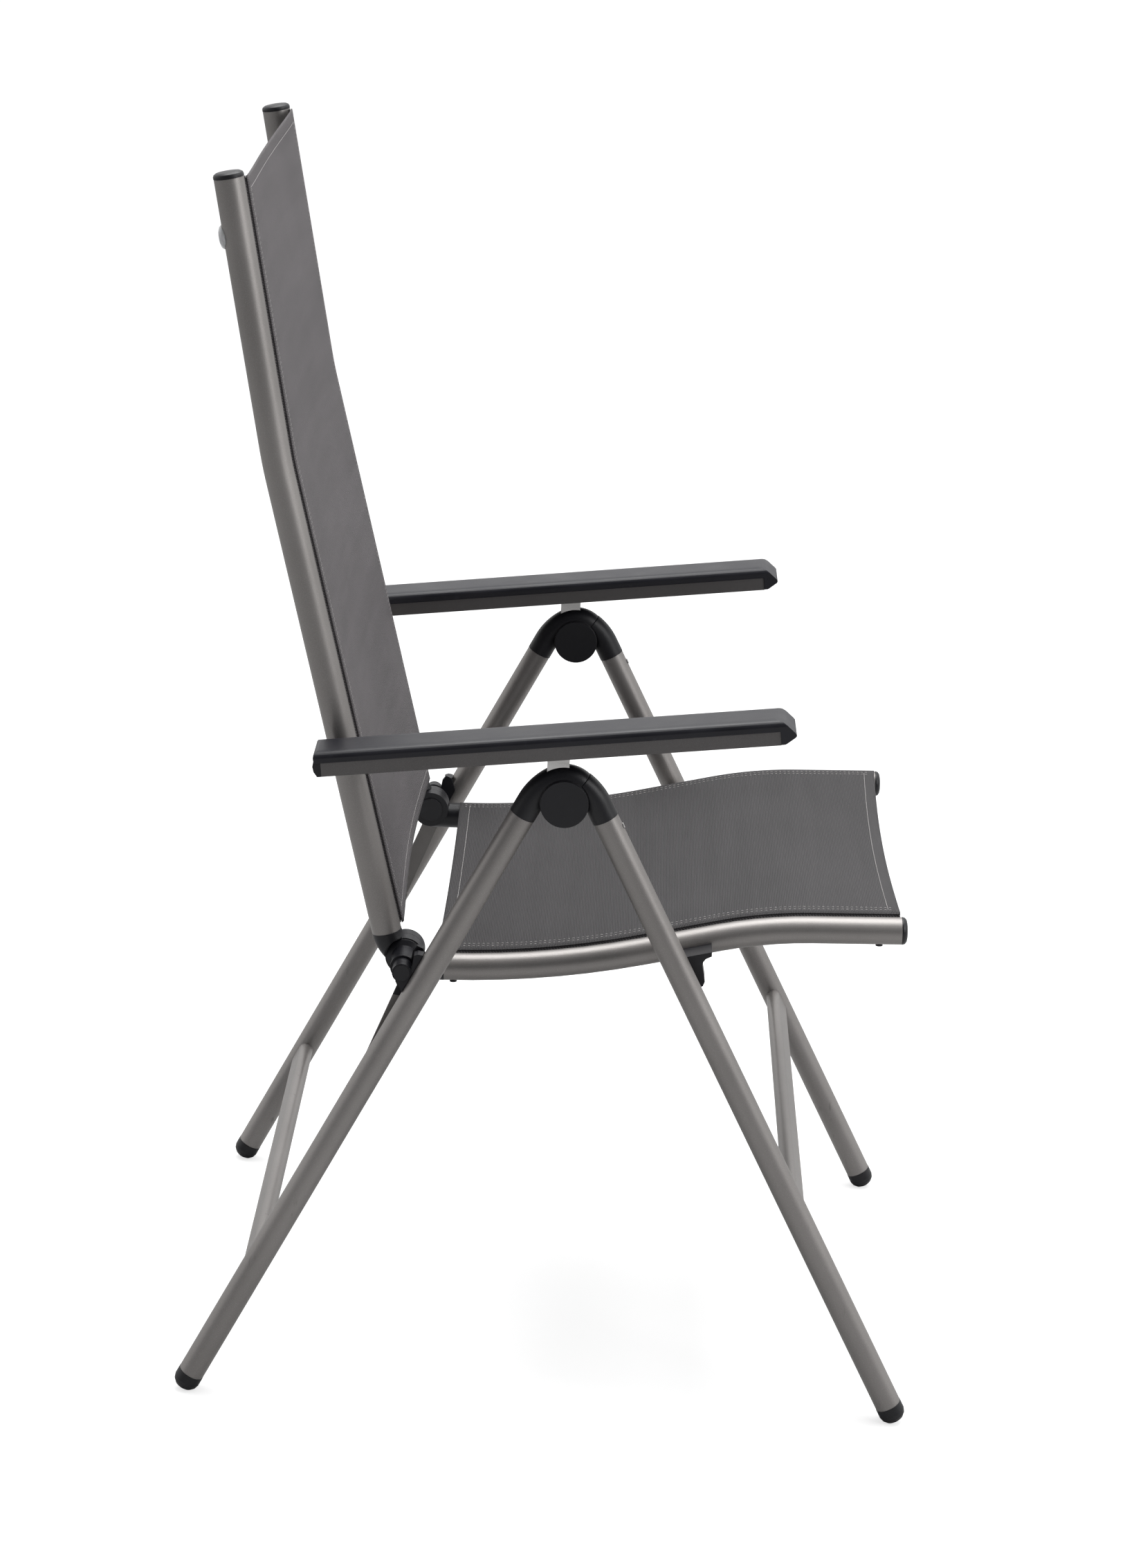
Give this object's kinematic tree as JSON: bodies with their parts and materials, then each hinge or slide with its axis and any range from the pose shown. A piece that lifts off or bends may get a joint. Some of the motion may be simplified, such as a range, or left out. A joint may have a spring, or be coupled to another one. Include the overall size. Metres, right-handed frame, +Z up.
{
  "type": "folding garden armchair",
  "caption": "Folding high-back garden chair: round-tube cross legs, swing links, sling seat and back, and armrests that latch on the leg hinges to set the recline.",
  "frame": {"origin": "on the floor, midway between the four feet, straight below the top hinge axis", "axes": "+X towards the front of the chair, +Y to the sitter's left, +Z up"},
  "size_m": [0.6492, 0.57, 1.0886],
  "materials": {
    "frame_tube": "champagne-grey metallic, satin",
    "plastic": "anthracite, fine grain",
    "steel": "zinc-plated",
    "dark_steel": "black oxide, matt",
    "sling": "woven, coated yarn, dark grey-brown",
    "clear_bumper": "milky, translucent"
  },
  "bodies": {
    "rear_legs": {"rear_leg_left": "frame_tube", "rear_leg_right": "frame_tube", "rear_crossbar": "frame_tube", "rear_foot_left": "plastic", "rear_foot_right": "plastic", "rear_elbow_left": "plastic", "rear_elbow_right": "plastic", "top_hinge_pins": "steel", "hinge_covers": "plastic", "latch_left": "steel", "latch_right": "steel", "link_studs": "steel"},
    "front_legs": {"front_leg_left": "frame_tube", "front_leg_right": "frame_tube", "front_crossbar": "frame_tube", "front_foot_left": "plastic", "front_foot_right": "plastic", "front_elbow_left": "plastic", "front_elbow_right": "plastic", "seat_studs": "steel", "leg_rivets": "steel"},
    "links": {"link_left": "plastic", "link_right": "plastic", "link_caps": "plastic"},
    "seat": {"seat_tube_left": "frame_tube", "seat_tube_right": "frame_tube", "seat_cap_left": "plastic", "seat_cap_right": "plastic", "seat_elbow_left": "plastic", "seat_elbow_right": "plastic", "seat_bracket_left": "plastic", "seat_bracket_right": "plastic", "seat_spreaders": "frame_tube", "seat_screws": "plastic", "seat_sling": "sling"},
    "back_pins": {"back_hinge_pins": "dark_steel"},
    "back": {"back_tube_left": "frame_tube", "back_tube_right": "frame_tube", "back_cap_left": "plastic", "back_cap_right": "plastic", "back_elbow_left": "plastic", "back_elbow_right": "plastic", "back_spreaders": "frame_tube", "back_bumpers": "clear_bumper", "back_sling": "sling"},
    "arm_spacers": {"arm_spacers": "dark_steel"},
    "arm_bolts": {"arm_bolts": "steel"},
    "armrest_left": {"arm_pad_left": "plastic", "arm_rail_left": "frame_tube", "arm_rack_left": "plastic", "arm_cap_left": "plastic"},
    "armrest_right": {"arm_pad_right": "plastic", "arm_rail_right": "frame_tube", "arm_rack_right": "plastic", "arm_cap_right": "plastic"}
  },
  "joints": [
    {"name": "leg_fold", "type": "hinge", "parent": "rear_legs", "child": "front_legs", "pos_m": [0, 0, 0.562], "axis": [0, 1, 0], "range_deg": [0, 54.17]},
    {"name": "link_swing", "type": "hinge", "parent": "rear_legs", "child": "links", "pos_m": [-0.16621, 0, 0.29404], "axis": [0, -1, 0], "range_deg": [0, 158.52]},
    {"name": "seat_swing", "type": "hinge", "parent": "links", "child": "seat", "pos_m": [-0.135, 0, 0.399], "axis": [0, 1, 0], "range_deg": [0, 114.36]},
    {"name": "back_fold", "type": "hinge", "parent": "seat", "child": "back_pins", "pos_m": [-0.135, 0, 0.399], "axis": [0, 1, 0], "range_deg": [0, 84.89]},
    {"name": "recline", "type": "hinge", "parent": "back_pins", "child": "back", "pos_m": [-0.135, 0, 0.399], "axis": [0, -1, 0], "range_deg": [0, 48]},
    {"name": "arm_fold", "type": "hinge", "parent": "back", "child": "arm_spacers", "pos_m": [-0.196, 0, 0.587], "axis": [0, -1, 0], "range_deg": [0, 94.73]},
    {"name": "arm_level", "type": "hinge", "parent": "arm_spacers", "child": "arm_bolts", "pos_m": [-0.196, 0, 0.587], "axis": [0, 1, 0], "range_deg": [0, 31.49]},
    {"name": "arm_lift_left", "type": "hinge", "parent": "arm_bolts", "child": "armrest_left", "pos_m": [-0.196, 0, 0.587], "axis": [0, -1, 0], "range_deg": [0, 95]},
    {"name": "arm_lift_right", "type": "hinge", "parent": "arm_bolts", "child": "armrest_right", "pos_m": [-0.196, 0, 0.587], "axis": [0, -1, 0], "range_deg": [0, 95]}
  ],
  "couplings": [
    {"joint": "link_swing", "follows": "leg_fold", "ratio": 2.9261},
    {"joint": "seat_swing", "follows": "leg_fold", "ratio": 2.111},
    {"joint": "back_fold", "follows": "leg_fold", "ratio": 1.567},
    {"joint": "arm_fold", "follows": "leg_fold", "ratio": 1.7486},
    {"joint": "arm_level", "follows": "recline", "ratio": 0.656}
  ]
}
